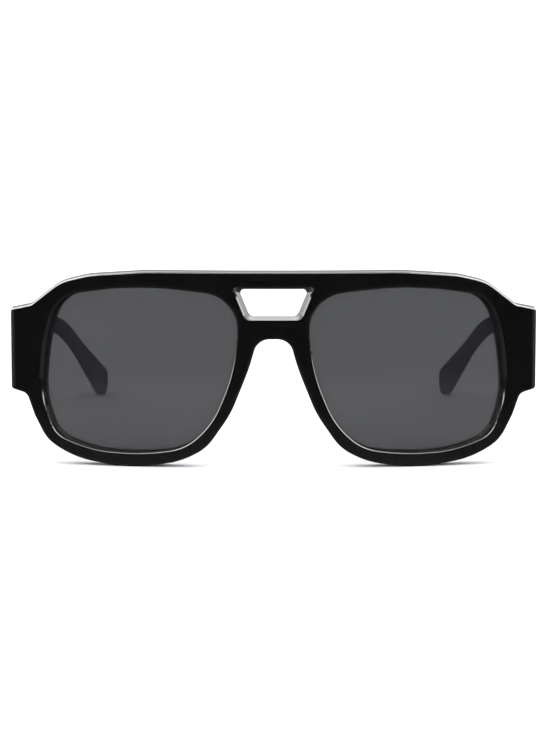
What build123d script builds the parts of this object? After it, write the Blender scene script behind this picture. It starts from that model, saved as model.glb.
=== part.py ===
# Flat top sunglasses: a curved front with two lenses, and two temples that fold on five-knuckle hinges.
# X runs across the face, Y from the front to the temple tips, and Z up from the ground.
import math
import os

from build123d import *

# Lenses
lens_width = 54.66
lens_height = 46.1
lens_thickness = 2.0
lens_curve_radius = 265.0
lens_setback = 2.2
lens_clearance = 0.05
bevel_height = 0.8
bevel_depth = 4.4

# Front
bridge_width = 20.0
endpiece_reach = 9.0
brow_height = 4.62
lower_rim_height = 4.12
front_thickness = 6.0
face_radius = 270.0
front_edge_round = 0.7
back_edge_round = 0.5
opening_front_round = 0.6
opening_flare = 4.4
flare_ledge = 0.2
opening_back_round = 0.4
window_bevel_depth = 1.2
window_top_round = 1.0
window_bottom_round = 2.0

# Nose pads
pad_length = 17.0
pad_reach = 6.5
pad_thickness = 2.5
pad_lean = 25.0
pad_splay = 2.0
bond_gap = 0.03

# Hinges
barrel_height = 10.0
barrel_radius = 1.5
knuckle_gap = 0.1
hinge_inset = 7.15
leaf_thickness = 1.8
leaf_width = 4.0
leaf_length = 10.0
leaf_proud = 0.6
leaf_corner_round = 0.4
web_length = 2.0
anchor_depth = 2.8
anchor_width = 2.4
anchor_height = 6.0
swing_gap = 0.35
screw_radius = 0.7
screw_clearance = 0.04
screw_head_radius = 1.2
screw_head_height = 0.7
slot_width = 0.35
slot_depth = 0.35

# Temples
temple_length = 134.0
temple_root_height = 44.0
temple_root_thickness = 4.6
temple_thickness = 2.6
temple_drift = 15.1
temple_edge_round = 0.6
temple_gap = 0.3
temple_side_gap = 0.15
core_width = 1.8
core_thickness = 1.0

# Overrun of every cutting solid
overrun = 3.0

# Worked-out places
knuckle_count = 5
lens_centre_x = bridge_width / 2 + lens_width / 2
lens_centre_z = lower_rim_height + lens_height / 2
half_width = bridge_width / 2 + lens_width + endpiece_reach
front_height = lower_rim_height + lens_height + brow_height
back_radius = face_radius - front_thickness
wrap_angle = math.asin(lens_centre_x / face_radius)
flare_depth = bevel_depth - bevel_height - flare_ledge

# Corners of half the front's outline: across of half_width, up and rounding of front_height
front_outline_shares = (
    (0.485, 1.0, 0.937),
    (0.695, 0.979, 0.515),
    (0.807, 0.941, 0.241),
    (0.920, 0.820, 0.052),
    (1.0, 0.7955, 0.011),
    (1.0, 0.384, 0.020),
    (0.940, 0.361, 0.045),
    (0.911, 0.251, 0.058),
    (0.864, 0.127, 0.197),
    (0.7615, 0.0383, 0.505),
    (0.591, 0.0, 0.715),
    (0.4857, 0.0, 0.642),
    (0.3536, 0.0296, 0.4456),
    (0.2536, 0.0973, 0.253),
    (0.1608, 0.2772, 0.515),
    (0.0889, 0.5173, 1.1195),
    (0.0609, 0.6582, 0.080),
)

# Corners of a lens opening: across of half lens_width, up and rounding of half lens_height
opening_outline_shares = (
    (-1.039, 0.896, 0.448),
    (0.010, 1.033, 4.09),
    (0.833, 0.889, 0.440),
    (0.963, 0.323, 2.173),
    (1.017, -0.317, 1.141),
    (0.876, -0.808, 0.355),
    (0.485, -0.990, 1.633),
    (-0.024, -1.017, 2.805),
    (-0.4585, -0.949, 0.625),
    (-0.742, -0.643, 1.03),
    (-0.9535, -0.036, 2.06),
)

# How much of the flare each of those corners takes
opening_flare_shares = (0.0, 0.0, 0.25, 1.0, 1.0, 0.25, 0.0, 0.0, 0.0, 0.0, 0.0)

# Depths of the flare's sections, of flare_depth
flare_depth_shares = (0.0, 0.25, 0.5, 0.75, 1.0)

# Upper and lower corner of the bridge window: across of half bridge_width, up of front_height
window_face_shares = ((1.18, 0.928), (0.785, 0.756))
window_bevel_shares = ((1.105, 0.918), (0.735, 0.7591))
window_back_shares = ((0.966, 0.9033), (0.66, 0.7664))

# Temple corners seen from the side: back of temple_length, up of temple_root_height, rounding of length
temple_top_shares = (
    (-0.0255, 0.985, 0.0),
    (0.38, 0.800, 0.44),
    (0.654, 0.692, 0.60),
)
temple_tip_shares = (
    (1.0, 0.166, 0.027),
    (0.994, 0.0, 0.036),
    (0.958, 0.0, 0.050),
)
temple_under_shares = (
    (0.675, 0.629, 0.60),
    (0.24, 0.640, 1.10),
    (-0.0255, 0.4773, 0.0),
)

# Temple centre line seen from above: back of temple_length, inward of temple_drift, rounding of length
temple_plan_shares = (
    (-0.0255, 0.0, 0.0),
    (0.40, 0.08, 2.1),
    (0.705, 0.341, 1.9),
    (1.03, 1.09, 0.0),
)
core_end_share = 0.88
pad_place_shares = (0.165, 0.345)
pad_roll_share = 0.44


def limited_rounds(corners, closed):
    """Roundings of an outline's corners, each as large as the two straight runs beside it allow."""
    count = len(corners)
    turns = range(count) if closed else range(1, count - 1)
    reach = [0.0] * count
    for i in turns:
        here = Vector(corners[i][0], corners[i][1])
        before = Vector(corners[i - 1][0], corners[i - 1][1]) - here
        after = Vector(corners[(i + 1) % count][0], corners[(i + 1) % count][1]) - here
        reach[i] = corners[i][2] / math.tan(math.radians(before.get_angle(after)) / 2)
    rounds = []
    used_share = 0.98
    for i in turns:
        room = 1.0
        for j in (i - 1, (i + 1) % count):
            run = math.dist(corners[i][:2], corners[j][:2])
            room = min(room, used_share * run / max(reach[i] + reach[j], used_share * run))
        rounds.append(corners[i][2] * room)
    return rounds


def outline_face(plane, corners):
    """Flat face in a plane, from a closed run of corners (across, up, rounding)."""
    points = [plane.from_local_coords((across, up, 0)) for across, up, _ in corners]
    return make_face(FilletPolyline(points, radius=limited_rounds(corners, True), close=True))


def grown(corners, amount):
    """The same outline moved outwards by an amount, with its arcs still about the same centres."""
    count = len(corners)
    result = []
    for i, (across, up, rounding) in enumerate(corners):
        here = Vector(across, up)
        before = (Vector(*corners[i - 1][:2]) - here).normalized()
        after = (Vector(*corners[(i + 1) % count][:2]) - here).normalized()
        half_angle = math.radians(before.get_angle(after)) / 2
        moved = here - (before + after).normalized() * (amount / math.sin(half_angle))
        result.append((moved.X, moved.Y, rounding + amount))
    return result


def face_cylinder(radius, height):
    """Upright solid cylinder about the axis that the front is bent round."""
    return Pos(0, face_radius, front_height / 2) * Cylinder(radius, height)


def front_corners():
    """All corners of the front's outline, right half and mirrored left half."""
    right = [(x * half_width, z * front_height, r * front_height) for x, z, r in front_outline_shares]
    left = [(-x, z, r) for x, z, r in reversed(right)]
    return right + left


def opening_corners():
    """Corners of a lens opening, about the lens centre."""
    half_lens_width = lens_width / 2
    half_lens_height = lens_height / 2
    return [
        (x * half_lens_width, z * half_lens_height, r * half_lens_height)
        for x, z, r in opening_outline_shares
    ]


def flared_outline(depth, flare):
    """Face of the opening's outline at a depth, with an amount of flare on its outer side."""
    corners = [
        (x + share * flare, z, r)
        for (x, z, r), share in zip(opening_corners(), opening_flare_shares)
    ]
    return outline_face(lens_plane(depth), corners)


def lens_plane(depth):
    """Plane square to the right lens, at a depth behind the front's face, looking forwards."""
    sine, cosine = math.sin(wrap_angle), math.cos(wrap_angle)
    centre = Vector(
        face_radius * sine - depth * sine,
        face_radius - (face_radius - depth) * cosine,
        lens_centre_z,
    )
    return Plane(origin=centre, x_dir=(cosine, sine, 0), z_dir=(sine, -cosine, 0))


def both_sides(solid):
    """A right-hand solid with its mirror image."""
    return solid, mirror(solid, about=Plane.YZ)


def bevelled_plug(growth, depths, rises):
    """Plug of the right opening, grown by a clearance, with a rise of its outline at each depth."""
    sections = []
    for depth, rise in zip(depths, rises):
        outline = grown(opening_corners(), growth + rise)
        sections.append(outline_face(lens_plane(depth), outline))
    return loft(sections, ruled=True)


def groove_plug():
    """Flat plug with the V-shaped ridge that cuts the lens groove."""
    depths = (bevel_depth - bevel_height, bevel_depth, bevel_depth + bevel_height)
    return bevelled_plug(0, depths, (0, bevel_height, 0))


def opening_cutter():
    """Plug of the right opening, whose outer side rolls out towards the face."""
    rolled = [
        flared_outline(flare_depth * depth_share, opening_flare * (1 - depth_share) ** 2)
        for depth_share in flare_depth_shares
    ]
    before = extrude(rolled[0], amount=overrun, dir=lens_plane(0).z_dir)
    behind = extrude(rolled[-1], amount=front_thickness, dir=-lens_plane(0).z_dir)
    return before + loft(rolled) + behind


def lens_shell():
    """Domed sheet that the right lens is cut from."""
    centre = lens_plane(lens_setback + lens_curve_radius).origin
    outer = Sphere(lens_curve_radius)
    inner = Sphere(lens_curve_radius - lens_thickness)
    return Pos(*centre) * (outer - inner)


def make_lens():
    """Right lens: a domed sheet cut to the opening, with its bevel ridge."""
    ridge = (bevel_depth - bevel_height, bevel_depth, bevel_depth + bevel_height)
    depths = (0, *ridge, front_thickness + overrun)
    return bevelled_plug(-lens_clearance, depths, (0, 0, bevel_height, 0, 0)) & lens_shell()


def window_section(shares, depth):
    """Outline of the bridge window at a depth behind the face."""
    (top_x, top_z), (low_x, low_z) = shares
    half_bridge = bridge_width / 2
    right = [
        (top_x * half_bridge, top_z * front_height, window_top_round),
        (low_x * half_bridge, low_z * front_height, window_bottom_round),
    ]
    left = [(-x, z, r) for x, z, r in reversed(right)]
    plane = Plane(origin=(0, depth, 0), x_dir=(1, 0, 0), z_dir=(0, -1, 0))
    return outline_face(plane, right + left)


def window_cutter():
    """Tapered plug of the bridge window, with its bevel at the face."""
    sections = [
        window_section(window_face_shares, -overrun),
        window_section(window_face_shares, 0),
        window_section(window_bevel_shares, window_bevel_depth),
        window_section(window_back_shares, front_thickness),
        window_section(window_back_shares, front_thickness + overrun),
    ]
    return loft(sections, ruled=True)


def on_cylinder(edge, radius):
    """Whether an edge lies on the upright cylinder of that radius about the bending axis."""
    near = lens_clearance / 5
    places = [edge @ share for share in (0.0, 0.5, 1.0)]
    return all(abs(math.hypot(p.X, p.Y - face_radius) - radius) < near for p in places)


def make_front_blank():
    """Curved front with its rounded outer edges, before the openings."""
    slab_depth = back_face_y(half_width) + overrun
    outline = outline_face(Plane.XZ, front_corners())
    slab = extrude(outline, amount=slab_depth, dir=(0, 1, 0))
    tall = front_height * 2
    bent = slab & (face_cylinder(face_radius, tall) - face_cylinder(back_radius, tall))
    bent = fillet([e for e in bent.edges() if on_cylinder(e, face_radius)], front_edge_round)
    return fillet([e for e in bent.edges() if on_cylinder(e, back_radius)], back_edge_round)


def new_edges(solid, radius, old_middles):
    """Edges of a solid on that upright cylinder which were not there before a cut."""
    found = [e for e in solid.edges() if on_cylinder(e, radius)]
    return [e for e in found if min((e @ 0.5 - old).length for old in old_middles) > lens_clearance]


def make_front():
    """Front with its lens openings, grooves and bridge window."""
    front = make_front_blank()
    old_middles = [e @ 0.5 for e in front.edges()]
    for cutter in both_sides(opening_cutter()):
        front -= cutter
    front = fillet(new_edges(front, face_radius, old_middles), opening_front_round)
    front = fillet(new_edges(front, back_radius, old_middles), opening_back_round)
    for cutter in both_sides(groove_plug()):
        front -= cutter
    return front - window_cutter()


def back_face_y(x):
    """Place of the front's back face at a distance across."""
    return face_radius - math.sqrt(back_radius**2 - x**2)


def make_nose_pad():
    """Right nose pad: a slice of a disc with rolled edges, bedded on the back of the rim."""
    across_share, up_share = pad_place_shares
    across, up = across_share * half_width, up_share * front_height
    disc_radius = ((pad_length / 2) ** 2 + pad_reach**2) / (2 * pad_reach)
    lean = math.radians(pad_lean)
    along = Vector(math.sin(lean), 0, -math.cos(lean))
    facing = Vector(math.cos(lean), 0, math.sin(lean))
    middle = Vector(across, back_face_y(across) + pad_reach - disc_radius, up)
    disc = Plane(origin=middle, x_dir=along, z_dir=facing) * Cylinder(disc_radius, pad_thickness)
    disc = fillet(disc.edges().filter_by(GeomType.CIRCLE), pad_thickness * pad_roll_share)
    seat = Vector(across, back_face_y(across), up)
    disc = disc.rotate(Axis(seat, along), pad_splay)
    return disc & face_cylinder(back_radius - bond_gap, front_height * 2)


def knuckle_span(index):
    """Height of a knuckle and the place of its middle, counted from the lowest."""
    height = (barrel_height - knuckle_gap * (knuckle_count - 1)) / knuckle_count
    low = hinge_height - barrel_height / 2 + index * (height + knuckle_gap)
    return height, low + height / 2


def block(x_ends, y_ends, z_middle, height):
    """Upright block between two places across and two places back."""
    wide, deep = x_ends[1] - x_ends[0], y_ends[1] - y_ends[0]
    return Pos(sum(x_ends) / 2, sum(y_ends) / 2, z_middle) * Box(wide, deep, height)


def bored_knuckles(first, arm_x, arm_y):
    """Every second knuckle of the barrel with its arm, bored for the screw."""
    solid = None
    for index in range(first, knuckle_count, 2):
        height, middle = knuckle_span(index)
        knuckle = Pos(hinge_x, hinge_y, middle) * Cylinder(barrel_radius, height)
        knuckle += block(arm_x, arm_y, middle, height)
        solid = knuckle if solid is None else solid + knuckle
    return solid


def screw_bore():
    """Hole through the whole barrel."""
    bore = Cylinder(screw_radius + screw_clearance, barrel_height + overrun)
    return Pos(hinge_x, hinge_y, hinge_height) * bore


def make_front_hinge():
    """Hinge leaf sunk in the front, with its anchor and three knuckles."""
    leaf_x = (hinge_x - leaf_width / 2, hinge_x + leaf_width / 2)
    leaf = block(leaf_x, (leaf_back_y - leaf_thickness, leaf_back_y), hinge_height, barrel_height)
    leaf = fillet(leaf.edges().filter_by(Axis.Y), leaf_corner_round)
    anchor_x = (hinge_x - anchor_width / 2, hinge_x + anchor_width / 2)
    anchor_y = (leaf_back_y - leaf_thickness - anchor_depth, leaf_back_y - leaf_thickness)
    arm_x = (hinge_x - barrel_radius, hinge_x + barrel_radius)
    solid = leaf + block(anchor_x, anchor_y, hinge_height, anchor_height)
    return solid + bored_knuckles(0, arm_x, (leaf_back_y, hinge_y)) - screw_bore()


def make_temple_hinge():
    """Hinge leaf sunk in the temple, with the web that grips the wire core and two knuckles."""
    leaf_x = (temple_inner_x - leaf_proud, temple_inner_x - leaf_proud + leaf_thickness)
    leaf_y = (hinge_y + knuckle_gap, leaf_end_y)
    leaf = block(leaf_x, leaf_y, hinge_height, barrel_height)
    leaf = fillet(leaf.edges().filter_by(Axis.X).sort_by(Axis.Y)[-2:], leaf_corner_round)
    web_x = (leaf_x[0], temple_middle_x + core_thickness / 2)
    web = block(web_x, (leaf_end_y - web_length, leaf_end_y), hinge_height, core_width)
    arm_y = (hinge_y + knuckle_gap, hinge_y + barrel_radius)
    return leaf + web + bored_knuckles(1, (hinge_x, leaf_x[1]), arm_y) - screw_bore()


def make_hinge_screw():
    """Slotted screw standing in the barrel from above."""
    shank = Pos(hinge_x, hinge_y, hinge_height) * Cylinder(screw_radius, barrel_height)
    barrel_top = hinge_height + barrel_height / 2
    head = Cylinder(screw_head_radius, screw_head_height)
    head = Pos(hinge_x, hinge_y, barrel_top + screw_head_height / 2) * head
    top_edge = head.edges().filter_by(GeomType.CIRCLE).sort_by(Axis.Z)[-1:]
    head = fillet(top_edge, screw_head_height / 3)
    slot_middle = barrel_top + screw_head_height - slot_depth / 2
    slot = Box(screw_head_radius * 2 + overrun, slot_width, slot_depth)
    return shank + head - Pos(hinge_x, hinge_y, slot_middle) * slot


def side_corners(shares):
    """Corners of the temple seen from the side."""
    return [
        (temple_root_y + back * temple_length, up * temple_root_height, rounding * temple_length)
        for back, up, rounding in shares
    ]


def plan_corners(root_offset, offset):
    """Corners of a line along the temple seen from above, set off outwards from its centre line."""
    result = []
    for index, (back, inward, rounding) in enumerate(temple_plan_shares):
        aside = offset if index else root_offset
        across = temple_middle_x - inward * temple_drift + aside
        result.append((across, temple_root_y + back * temple_length, rounding * temple_length))
    return result


def make_temple_blank():
    """Right temple with its rounded edges, before it is fitted to the front and hinge."""
    side_plane = Plane(origin=(0, 0, 0), x_dir=(0, 1, 0), z_dir=(1, 0, 0))
    side_shares = temple_top_shares + temple_tip_shares + temple_under_shares
    side = outline_face(side_plane, side_corners(side_shares))
    outer = plan_corners(temple_root_thickness / 2, temple_thickness / 2)
    inner = plan_corners(-temple_root_thickness / 2, -temple_thickness / 2)
    plan = outline_face(Plane.XY, outer + inner[::-1])
    blank = extrude(side, amount=half_width + overrun, dir=(1, 0, 0))
    blank &= extrude(plan, amount=temple_root_height * 2, dir=(0, 0, 1))
    square_share = 0.9999
    start_y = side_corners(temple_top_shares)[0][1]
    long_edges = [
        e
        for e in blank.edges()
        if max(abs((e % 0.5).X), abs((e % 0.5).Z)) < square_share and (e @ 0.5).Y > start_y + knuckle_gap
    ]
    return fillet(long_edges, temple_edge_round)


def middle_side_corners():
    """Corners of the wire core's centre line seen from the side, halfway up the temple."""
    top = side_corners(temple_top_shares + temple_tip_shares[:1])
    under = side_corners(temple_tip_shares[2:] + temple_under_shares)[::-1]
    return [tuple((a + b) / 2 for a, b in zip(high, low)) for high, low in zip(top, under)]


def core_z_at(y):
    """Height of the core's centre line on its first straight run."""
    (y_first, z_first, _), (y_next, z_next, _) = middle_side_corners()[:2]
    return z_first + (z_next - z_first) * (y - y_first) / (y_next - y_first)


def band(plane, corners, width):
    """Flat band of one width along a run of corners."""
    points = [plane.from_local_coords((across, up, 0)) for across, up, _ in corners]
    line = FilletPolyline(points, radius=limited_rounds(corners, False))
    return make_face(offset(line, amount=width / 2, side=Side.BOTH))


def make_temple_core():
    """Flat wire inside the right temple, from the hinge web to near the tip."""
    side_plane = Plane(origin=(0, 0, 0), x_dir=(0, 1, 0), z_dir=(1, 0, 0))
    tall = band(side_plane, middle_side_corners(), core_width)
    core = extrude(tall, amount=half_width + overrun, dir=(1, 0, 0))
    flat = band(Plane.XY, plan_corners(0, 0), core_thickness)
    core &= extrude(flat, amount=temple_root_height * 2, dir=(0, 0, 1))
    core_y = (leaf_end_y, temple_root_y + core_end_share * temple_length)
    return core & block((0, half_width), core_y, hinge_height, temple_root_height * 2)


hinge_x = half_width - hinge_inset
leaf_back_y = back_face_y(hinge_x + leaf_width / 2) + leaf_proud / 3
hinge_y = leaf_back_y + barrel_radius + swing_gap
leaf_end_y = hinge_y + knuckle_gap + leaf_length
temple_middle_x = half_width - temple_side_gap - temple_root_thickness / 2
temple_inner_x = temple_middle_x - temple_root_thickness / 2
temple_root_y = back_face_y(temple_middle_x) + temple_gap
hinge_height = core_z_at(leaf_end_y)

front = make_front()
front_hinge = make_front_hinge()
temple_hinge = make_temple_hinge()
temple_core = make_temple_core()
hinge_screw = make_hinge_screw()
temple = make_temple_blank() & face_cylinder(back_radius - temple_gap, front_height * 2)
temple = temple - temple_hinge - temple_core
for leaf in both_sides(front_hinge):
    front -= leaf

pieces = {"frame_front": front}
handed = {
    "lens": make_lens(),
    "nose_pad": make_nose_pad(),
    "front_hinge": front_hinge,
    "temple_hinge": temple_hinge,
    "hinge_screw": hinge_screw,
    "temple_core": temple_core,
    "temple": temple,
}
for name, solid in handed.items():
    pieces[name + "_right"], pieces[name + "_left"] = both_sides(solid)

# The middle of the whole depth is the origin
boxes = [solid.bounding_box() for solid in pieces.values()]
middle_y = (min(box.min.Y for box in boxes) + max(box.max.Y for box in boxes)) / 2
os.makedirs("parts", exist_ok=True)
for name, solid in pieces.items():
    export_step(Pos(0, -middle_y, 0) * solid, f"parts/{name}.step")
print("hinge axis", hinge_x, hinge_y - middle_y, hinge_height, "front of the face", -middle_y)
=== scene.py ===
"""Looks of a pair of black acetate sunglasses with a flat brow bar and tinted lenses."""

import logging
import math
from dataclasses import dataclass
from enum import Enum

import bmesh
import bpy
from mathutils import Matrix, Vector

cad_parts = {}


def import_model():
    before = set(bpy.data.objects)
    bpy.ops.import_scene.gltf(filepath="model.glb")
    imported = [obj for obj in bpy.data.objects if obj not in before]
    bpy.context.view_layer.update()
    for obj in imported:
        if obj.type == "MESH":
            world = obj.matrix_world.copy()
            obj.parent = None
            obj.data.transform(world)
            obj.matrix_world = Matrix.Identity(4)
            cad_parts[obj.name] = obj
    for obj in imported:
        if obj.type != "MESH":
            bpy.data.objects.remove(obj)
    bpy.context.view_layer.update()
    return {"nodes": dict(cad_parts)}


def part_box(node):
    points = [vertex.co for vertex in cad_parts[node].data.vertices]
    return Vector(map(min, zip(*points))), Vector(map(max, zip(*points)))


LOG = logging.getLogger("sunglasses")
MM = 0.001
WHITE = (1.0, 1.0, 1.0, 1.0)
Triple = tuple[float, float, float]


class Side(Enum):
    """The two sides of the object, by the sign of X."""

    RIGHT = 1
    LEFT = -1

    @property
    def word(self) -> str:
        """Ending that this side's node names carry."""
        return self.name.lower()


class Grain(Enum):
    """Direction of the fine lines on a metal surface, as the pattern's stretch on each axis."""

    UPRIGHT = (60.0, 60.0, 4.0)
    LENGTHWISE = (60.0, 4.0, 60.0)


class Signal:
    """A shader socket that takes part in Python expressions."""

    def __init__(self, graph: "Graph", socket: bpy.types.NodeSocket) -> None:
        """Keeps the socket and the graph that it belongs to.

        Args:
            graph: The graph that new Math nodes are added to.
            socket: The output that carries the value.
        """
        self.graph = graph
        self.socket = socket

    def _math(self, operation: str, *values: "Signal | float") -> "Signal":
        """Adds one Math node over some values.

        Args:
            operation: The Math node's operation.
            values: Signals or numbers, in the order of the inputs.

        Returns:
            The node's result.
        """
        return self.graph.node("ShaderNodeMath", {"operation": operation}, dict(enumerate(values)))

    def __add__(self, other: "Signal | float") -> "Signal":
        """Sum."""
        return self._math("ADD", self, other)

    __radd__ = __add__

    def __sub__(self, other: "Signal | float") -> "Signal":
        """Difference."""
        return self._math("SUBTRACT", self, other)

    def __rsub__(self, other: float) -> "Signal":
        """Difference from a number."""
        return self._math("SUBTRACT", other, self)

    def __mul__(self, other: "Signal | float") -> "Signal":
        """Product."""
        return self._math("MULTIPLY", self, other)

    __rmul__ = __mul__

    def __abs__(self) -> "Signal":
        """Size without the sign."""
        return self._math("ABSOLUTE", self)


@dataclass(frozen=True)
class Fade:
    """Smooth step of a value: start below the level low, and end above the level high."""

    low: float
    high: float
    start: float = 0.0
    end: float = 1.0

    def over(self, value: Signal) -> Signal:
        """Adds the step to the value's graph.

        Args:
            value: The value that the step reads.

        Returns:
            The stepped value.
        """
        levels = {
            "Value": value,
            "From Min": self.low,
            "From Max": self.high,
            "To Min": self.start,
            "To Max": self.end,
        }
        return value.graph.node("ShaderNodeMapRange", {"interpolation_type": "SMOOTHSTEP"}, levels)


@dataclass(frozen=True)
class Pattern:
    """A cloudy noise: its cells in a metre, its number of finer layers, and their strength."""

    cells: float
    layers: float = 2.0
    strength: float = 0.5


class Graph:
    """Node tree of a material or of the world, built one node at a time."""

    def __init__(self, tree: bpy.types.NodeTree) -> None:
        """Empties the tree.

        Args:
            tree: The node tree to fill.
        """
        tree.nodes.clear()
        self.tree = tree

    def node(self, kind: str, settings: dict | None = None, inputs: dict | None = None,
             output: int | str = 0) -> Signal:
        """Adds one node.

        Args:
            kind: The node's type.
            settings: Settings of the node, made before its sockets are set.
            inputs: Values or signals, by the name or number of the socket.
            output: Name or number of the output wanted.

        Returns:
            The output as a signal.
        """
        made = self.tree.nodes.new(kind)
        for name, value in (settings or {}).items():
            setattr(made, name, value)
        for key, value in (inputs or {}).items():
            if isinstance(value, Signal):
                self.tree.links.new(value.socket, made.inputs[key])
            else:
                made.inputs[key].default_value = value
        return Signal(self, made.outputs[output])

    def place(self, centre: Vector | Triple = (0.0, 0.0, 0.0), stretch: Triple = (1.0, 1.0, 1.0)) -> Signal:
        """Object coordinates about a centre.

        Args:
            centre: Point that becomes the pattern's origin.
            stretch: Factor on each axis.

        Returns:
            The coordinates.
        """
        inputs = {
            "Vector": self.node("ShaderNodeTexCoord", output="Object"),
            "Location": [-factor * part for factor, part in zip(stretch, centre)],
            "Scale": stretch,
        }
        return self.node("ShaderNodeMapping", {"vector_type": "POINT"}, inputs)

    def noise(self, where: Signal, pattern: Pattern) -> Signal:
        """Cloudy noise from 0 to 1.

        Args:
            where: Coordinates, in metres.
            pattern: The noise's size and layers.

        Returns:
            The noise value.
        """
        inputs = {
            "Vector": where,
            "Scale": pattern.cells,
            "Detail": pattern.layers,
            "Roughness": pattern.strength,
        }
        return self.node("ShaderNodeTexNoise", {"noise_dimensions": "3D"}, inputs)

    def part(self, vector: Signal, axis: str) -> Signal:
        """One number of a vector.

        Args:
            vector: The vector.
            axis: X, Y or Z.

        Returns:
            The number on that axis.
        """
        return self.node("ShaderNodeSeparateXYZ", {}, {"Vector": vector}, output=axis)

    def blend(self, share: Signal, first: Signal | Triple, second: Triple) -> Signal:
        """Colour between two colours.

        Args:
            share: How much of the second colour shows.
            first: Colour at 0.
            second: Colour at 1.

        Returns:
            The mixed colour.
        """
        tone = first if isinstance(first, Signal) else (*first, 1.0)
        factor, colour_a, colour_b, colour_out = 0, 6, 7, 2
        inputs = {factor: share, colour_a: tone, colour_b: (*second, 1.0)}
        return self.node("ShaderNodeMix", {"data_type": "RGBA"}, inputs, output=colour_out)

    def bump(self, height: Signal, depth: float, under: Signal | None = None) -> Signal:
        """Normal of a relief.

        Args:
            height: Relief from 0 to 1.
            depth: Depth of the relief, in metres.
            under: Normal of a wider relief that this one lies on.

        Returns:
            The bent normal.
        """
        inputs = {"Height": height, "Distance": depth, "Strength": 1.0}
        if under is not None:
            inputs["Normal"] = under
        return self.node("ShaderNodeBump", {}, inputs, output="Normal")

    def surface(self, inputs: dict) -> None:
        """Ends the tree in one Principled shader.

        Args:
            inputs: Values or signals of the shader's sockets.
        """
        shader = self.node("ShaderNodeBsdfPrincipled", {}, inputs)
        self.show("ShaderNodeOutputMaterial", shader)

    def show(self, kind: str, shader: Signal) -> None:
        """Links a shader to the tree's output node.

        Args:
            kind: Type of the output node.
            shader: The shader that shows.
        """
        end = self.tree.nodes.new(kind)
        self.tree.links.new(shader.socket, end.inputs["Surface"])


def new_material(name: str) -> tuple[bpy.types.Material, Graph]:
    """Makes an empty material.

    Args:
        name: The material's name.

    Returns:
        The material and its graph.
    """
    material = bpy.data.materials.new(name)
    material.use_nodes = True
    return material, Graph(material.node_tree)


@dataclass(frozen=True)
class PolishedAcetate:
    """Black acetate sheet, tumbled and buffed to a deep gloss.

    The end pieces' outer edges carry a painted reflection of the side light, a lighter tone. Where
    that begins and ends is measured from the sides and the back of the front's box.
    """

    half_width: float
    back: float
    base: Triple = (0.0032, 0.0032, 0.0033)
    cloud: Triple = (0.0037, 0.0036, 0.0036)
    # painted reflection: a lighter tone on the end pieces' outer edges, standing in for the side light
    painted_sheen: Triple = (0.019, 0.0195, 0.0195)
    sheen_begins: float = 1.46 * MM
    sheen_full: float = 0.46 * MM
    sheen_ends: float = 5.3 * MM
    sheen_fade: float = 0.5 * MM
    refraction: float = 1.48
    clouds: Pattern = Pattern(140.0, 3.0)
    cloud_share: Fade = Fade(0.42, 0.62)
    haze: Pattern = Pattern(900.0, 4.0, 0.6)
    haze_stretch: Triple = (1.0, 1.0, 0.35)
    gloss: Fade = Fade(0.35, 0.75, 0.03, 0.06)
    waves: Pattern = Pattern(95.0, 1.0, 0.4)
    wave_depth: float = 0.004 * MM
    specks: Pattern = Pattern(2600.0)
    speck_depth: float = 0.0006 * MM

    def painted_sheen_share(self, graph: Graph, where: Signal) -> Signal:
        """Place of the painted reflection on the end pieces' outer edges.

        Args:
            graph: The material's graph.
            where: Object coordinates.

        Returns:
            1 on the outer edges of the end pieces, and 0 elsewhere.
        """
        outer = Fade(self.half_width - self.sheen_begins, self.half_width - self.sheen_full)
        last = self.back - self.sheen_ends
        ahead = Fade(last - self.sheen_fade, last, 1.0, 0.0)
        return outer.over(abs(graph.part(where, "X"))) * ahead.over(graph.part(where, "Y"))

    def material(self) -> bpy.types.Material:
        """Builds the finish: faint clouds, painted edge reflection, buffing haze, and the wheel's slow
        waves.

        Returns:
            The material.
        """
        material, graph = new_material("polished_acetate")
        where = graph.place()
        cloudy = self.cloud_share.over(graph.noise(where, self.clouds))
        sheet = graph.blend(cloudy, self.base, self.cloud)
        haze = graph.noise(graph.place(stretch=self.haze_stretch), self.haze)
        wavy = graph.bump(graph.noise(where, self.waves), self.wave_depth)
        graph.surface({
            # the end pieces' outer edges get the painted reflection of the side light
            "Base Color": graph.blend(self.painted_sheen_share(graph, where), sheet, self.painted_sheen),
            "Roughness": self.gloss.over(haze),
            "IOR": self.refraction,
            "Normal": graph.bump(graph.noise(where, self.specks), self.speck_depth, under=wavy),
        })
        return material


@dataclass(frozen=True)
class SmokeTint:
    """Tinted lens plastic, even and dark, hard coated on both faces."""

    tint: Triple = (0.0150, 0.0153, 0.0175)
    flow_tint: Triple = (0.0147, 0.0150, 0.0172)
    cover: float = 0.782
    refraction: float = 1.5
    flow: Pattern = Pattern(60.0)
    specks: Pattern = Pattern(1500.0)
    gloss: Fade = Fade(0.3, 0.8, 0.03, 0.036)

    def material(self) -> bpy.types.Material:
        """Builds the finish: an even tint, with the faintest flow in it, under a clear coat.

        Returns:
            The material.
        """
        material, graph = new_material("smoke_tint")
        where = graph.place()
        graph.surface({
            "Base Color": graph.blend(graph.noise(where, self.flow), self.tint, self.flow_tint),
            "Roughness": self.gloss.over(graph.noise(where, self.specks)),
            "IOR": self.refraction,
            "Alpha": self.cover,
        })
        return material


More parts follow.
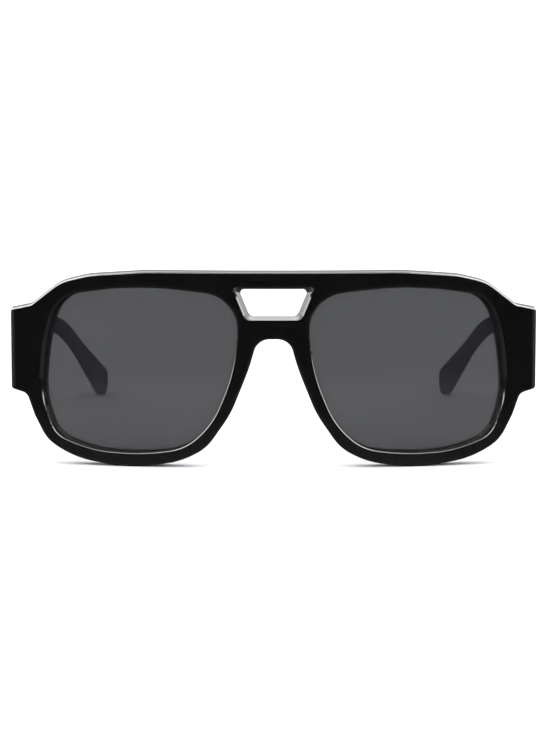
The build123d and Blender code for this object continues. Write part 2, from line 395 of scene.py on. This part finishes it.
@dataclass(frozen=True)
class BrushedAlloy:
    """Metal with the fine lines of its working."""

    name: str
    tone: Triple
    shade: Triple
    grain: Grain
    lines: Pattern = Pattern(160.0, 3.0, 0.6)
    line_gloss: Fade = Fade(0.3, 0.7, 0.22, 0.42)
    line_depth: float = 0.004 * MM
    tarnish: Pattern = Pattern(420.0, 3.0, 0.6)
    tarnish_share: Fade = Fade(0.35, 0.7)

    def material(self) -> bpy.types.Material:
        """Builds the finish: metal with lines along its grain and a light uneven tarnish.

        Returns:
            The material.
        """
        material, graph = new_material(self.name)
        lines = graph.noise(graph.place(stretch=self.grain.value), self.lines)
        tarnish = self.tarnish_share.over(graph.noise(graph.place(), self.tarnish))
        graph.surface({
            "Base Color": graph.blend(tarnish, self.tone, self.shade),
            "Metallic": 1.0,
            "Roughness": self.line_gloss.over(lines),
            "Normal": graph.bump(lines, self.line_depth),
        })
        return material


NICKEL_SILVER = BrushedAlloy(
    name="nickel_silver", tone=(0.60, 0.57, 0.52), shade=(0.50, 0.47, 0.42), grain=Grain.UPRIGHT)
DRAWN_WIRE = BrushedAlloy(
    name="drawn_wire", tone=(0.55, 0.54, 0.52), shade=(0.47, 0.46, 0.44), grain=Grain.LENGTHWISE)


@dataclass(frozen=True)
class TurnedSteel:
    """Bright screw steel with the rings that the lathe leaves on the head."""

    name: str
    centre: Vector
    tone: Triple = (0.66, 0.66, 0.67)
    ring_pitch: float = 0.09 * MM
    ring_depth: float = 0.003 * MM
    scuffs: Pattern = Pattern(900.0, 3.0)
    gloss: Fade = Fade(0.3, 0.7, 0.14, 0.32)

    def material(self) -> bpy.types.Material:
        """Builds the finish: rings at an even pitch about the middle of the head.

        Returns:
            The material.
        """
        material, graph = new_material(self.name)
        where = graph.place(self.centre)
        reach = graph.node("ShaderNodeVectorMath", {"operation": "LENGTH"}, {0: where}, output="Value")
        turn = reach * (2 * math.pi / self.ring_pitch)
        rings = graph.node("ShaderNodeMath", {"operation": "SINE"}, {0: turn})
        graph.surface({
            "Base Color": (*self.tone, 1.0),
            "Metallic": 1.0,
            "Roughness": self.gloss.over(graph.noise(where, self.scuffs)),
            "Normal": graph.bump(rings * 0.5 + 0.5, self.ring_depth),
        })
        return material


@dataclass(frozen=True)
class PaleSweep:
    """Matt white paper that the object stands on and in front of."""

    paper: Triple = (0.856, 0.862, 0.876)
    fibres: Pattern = Pattern(400.0)
    dullness: Fade = Fade(0.2, 0.8, 0.9, 1.0)

    def material(self) -> bpy.types.Material:
        """Builds the finish: matt paper with fine fibres and no shine.

        Returns:
            The material.
        """
        material, graph = new_material("pale_sweep")
        graph.surface({
            "Base Color": (*self.paper, 1.0),
            "Roughness": self.dullness.over(graph.noise(graph.place(), self.fibres)),
            "Specular IOR Level": 0.0,
        })
        return material


def dress(piece: bpy.types.Object, material: bpy.types.Material) -> None:
    """Gives a piece its material.

    Args:
        piece: The piece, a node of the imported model.
        material: The finish.
    """
    piece.data.materials.clear()
    piece.data.materials.append(material)
    LOG.info("%s wears %s", piece.name, material.name)


@dataclass
class Front:
    """The curved front with its lenses, nose pads and the parts of the hinges that stay with it."""

    nodes: dict[str, bpy.types.Object]
    acetate: bpy.types.Material
    tint: bpy.types.Material
    alloy: bpy.types.Material

    def dress(self) -> None:
        """Dresses every node of the front."""
        dress(self.nodes["frame_front"], self.acetate)
        for side in Side:
            dress(self.nodes[f"lens_{side.word}"], self.tint)
            dress(self.nodes[f"nose_pad_{side.word}"], self.acetate)
            dress(self.nodes[f"front_hinge_{side.word}"], self.alloy)
            self.dress_screw(side)

    def dress_screw(self, side: Side) -> None:
        """Dresses one hinge screw, with its rings about the top of its own box.

        Args:
            side: The side of the screw.
        """
        screw = self.nodes[f"hinge_screw_{side.word}"]
        low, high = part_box(screw.name)
        head = (low + high) / 2
        head.z = high.z
        steel = TurnedSteel(f"turned_steel_{side.word}", head)
        dress(screw, steel.material())


@dataclass
class Temple:
    """One temple with its wire core and its hinge leaf."""

    nodes: dict[str, bpy.types.Object]
    side: Side
    acetate: bpy.types.Material
    alloy: bpy.types.Material
    wire: bpy.types.Material

    def dress(self) -> None:
        """Dresses every node of the temple."""
        dress(self.nodes[f"temple_{self.side.word}"], self.acetate)
        dress(self.nodes[f"temple_hinge_{self.side.word}"], self.alloy)
        dress(self.nodes[f"temple_core_{self.side.word}"], self.wire)


@dataclass(frozen=True)
class Sweep:
    """Round paper floor that bends up into a wall, with the object at its middle."""

    radius: float = 1.7
    bend: float = 0.6
    height: float = 1.6
    steps: int = 96
    bend_steps: int = 16

    def build(self) -> None:
        """Spins the profile of the floor, the bend and the wall all round."""
        mesh = bmesh.new()
        profile = [mesh.verts.new((0.0, 0.0, 0.0))]
        flat = self.radius - self.bend
        for step in range(self.bend_steps + 1):
            angle = math.pi / 2 * step / self.bend_steps
            reach = flat + self.bend * math.sin(angle)
            rise = self.bend * (1 - math.cos(angle))
            profile.append(mesh.verts.new((reach, 0.0, rise)))
        profile.append(mesh.verts.new((self.radius, 0.0, self.height)))
        for ends in zip(profile, profile[1:]):
            mesh.edges.new(ends)
        bmesh.ops.spin(
            mesh, geom=mesh.verts[:] + mesh.edges[:], cent=(0, 0, 0), axis=(0, 0, 1),
            angle=2 * math.pi, steps=self.steps, use_merge=True)
        bmesh.ops.remove_doubles(mesh, verts=mesh.verts, dist=MM)
        for face in mesh.faces:
            face.smooth = True
        bmesh.ops.recalc_face_normals(mesh, faces=mesh.faces)
        data = bpy.data.meshes.new("sweep")
        mesh.to_mesh(data)
        mesh.free()
        sweep = bpy.data.objects.new("sweep", data)
        bpy.context.scene.collection.objects.link(sweep)
        sweep.visible_glossy = False
        data.materials.append(PaleSweep().material())
        LOG.info("sweep of radius %.2f m", self.radius)


@dataclass(frozen=True)
class StudioLight:
    """World light: even on matt faces, and a studio of soft boxes in what glossy faces reflect.

    A fade reads one part of the direction that a ray goes in: to either side, to the back, or up.
    Its start and end are a brightness, or a share of the brightness of the box that it shapes. The
    wall is the box behind the object, brighter towards its sides, and the upper box stands over it.
    The roof is overhead and dim at its middle. The flanks are at the sides, and the ground is low
    in front.
    """

    even: float = 2.3
    wall_middle: float = 0.5
    wall_sides: Fade = Fade(0.25, 1.0, 0.0, 6.0)
    wall_sides_up: Fade = Fade(0.18, 0.32, 1.0, 0.15)
    wall_back: Fade = Fade(0.25, 0.60)
    wall_up: Fade = Fade(-0.12, 0.0, 0.1, 1.0)
    upper_up: Fade = Fade(0.12, 0.42, 0.0, 2.2)
    upper_back: Fade = Fade(0.0, 0.2)
    upper_sides: Fade = Fade(0.2, 0.6, 1.0, 0.5)
    roof_rim: Fade = Fade(0.54, 0.70, 0.0, 12.0)
    roof_width: float = 0.64
    roof_up: Fade = Fade(-0.04, 0.08)
    roof_back: Fade = Fade(0.70, 0.88, 1.0, 0.0)
    roof_middle: Fade = Fade(0.90, 0.97, 1.0, 0.07)
    flank_sides: Fade = Fade(0.64, 0.92)
    flank_back: Fade = Fade(-0.14, 0.0, 0.12, 0.8)
    ground_up: Fade = Fade(-0.19, -0.13, 0.3, 0.0)
    ground_back: Fade = Fade(-0.5, 0.0, 1.0, 0.0)

    def reflected(self, graph: Graph) -> Signal:
        """Brightness of the soft boxes together.

        Args:
            graph: The world's graph.

        Returns:
            The brightness in the ray's direction.
        """
        ray = graph.node("ShaderNodeTexCoord", output="Generated")
        aside = abs(graph.part(ray, "X"))
        back = graph.part(ray, "Y")
        up = graph.part(ray, "Z")
        wall = self.wall_sides.over(aside) * self.wall_sides_up.over(up) + self.wall_middle
        wall = wall * self.wall_back.over(back) * self.wall_up.over(up)
        upper = self.upper_up.over(up) * self.upper_back.over(back) * self.upper_sides.over(aside)
        roof = self.roof_rim.over(up * up + aside * aside * self.roof_width)
        roof = roof * self.roof_up.over(up) * self.roof_back.over(back)
        roof = roof * (aside + 1.0) * self.roof_middle.over(up)
        flank = self.flank_sides.over(aside) * self.flank_back.over(back)
        ground = self.ground_up.over(up) * self.ground_back.over(back)
        return wall + upper + roof + flank + ground

    def build(self) -> None:
        """Lights the scene."""
        world = bpy.data.worlds.new("studio")
        world.use_nodes = True
        graph = Graph(world.node_tree)
        glossy = graph.node("ShaderNodeLightPath", output="Is Glossy Ray")
        strength = (1.0 - glossy) * self.even + glossy * self.reflected(graph)
        shine = graph.node("ShaderNodeBackground", {}, {"Color": WHITE, "Strength": strength})
        graph.show("ShaderNodeOutputWorld", shine)
        bpy.context.scene.world = world
        LOG.info("studio light")


@dataclass(frozen=True)
class PhotoCamera:
    """Camera in front of the object, looking down a little, as the photograph was taken.

    It looks at a point in the plane of the front's face, which it puts at one pixel of the frame.
    """

    face: float
    aim_height: float = 27.0 * MM
    aim_pixel: tuple[float, float] = (273.5, 372.3)
    pixels_per_mm: float = 3.607
    distance: float = 0.780
    tilt_degrees: float = 7.7
    frame_width: int = 550
    frame_height: int = 733
    film_mm: float = 36.0
    nearest: float = 0.01
    farthest: float = 50.0

    def build(self) -> None:
        """Makes the camera, sets its lens from the scale wanted, and lets the scene use it."""
        data = bpy.data.cameras.new("camera")
        data.sensor_fit = "VERTICAL"
        data.sensor_height = self.film_mm
        focal_pixels = self.pixels_per_mm * self.distance / MM
        data.lens = self.film_mm * focal_pixels / self.frame_height
        data.shift_x = (self.frame_width / 2 - self.aim_pixel[0]) / self.frame_height
        data.shift_y = (self.aim_pixel[1] - self.frame_height / 2) / self.frame_height
        data.clip_start = self.nearest
        data.clip_end = self.farthest
        camera = bpy.data.objects.new("camera", data)
        bpy.context.scene.collection.objects.link(camera)
        tilt = math.radians(self.tilt_degrees)
        towards_camera = Vector((0.0, -math.cos(tilt), math.sin(tilt)))
        camera.location = Vector((0.0, self.face, self.aim_height)) + towards_camera * self.distance
        camera.rotation_euler = (math.pi / 2 - tilt, 0.0, 0.0)
        bpy.context.scene.camera = camera
        bpy.context.scene.view_settings.view_transform = "Standard"
        LOG.info("camera lens %.1f mm", data.lens)


def main() -> None:
    """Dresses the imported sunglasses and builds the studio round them."""
    logging.basicConfig(level=logging.INFO, format="%(name)s: %(message)s")
    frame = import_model()
    nodes = frame["nodes"]
    low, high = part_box("frame_front")
    acetate = PolishedAcetate(half_width=high.x, back=high.y).material()
    alloy = NICKEL_SILVER.material()
    wire = DRAWN_WIRE.material()
    Front(nodes, acetate, SmokeTint().material(), alloy).dress()
    for side in Side:
        Temple(nodes, side, acetate, alloy, wire).dress()
    Sweep().build()
    StudioLight().build()
    PhotoCamera(face=low.y).build()


if __name__ == "__main__":
    main()
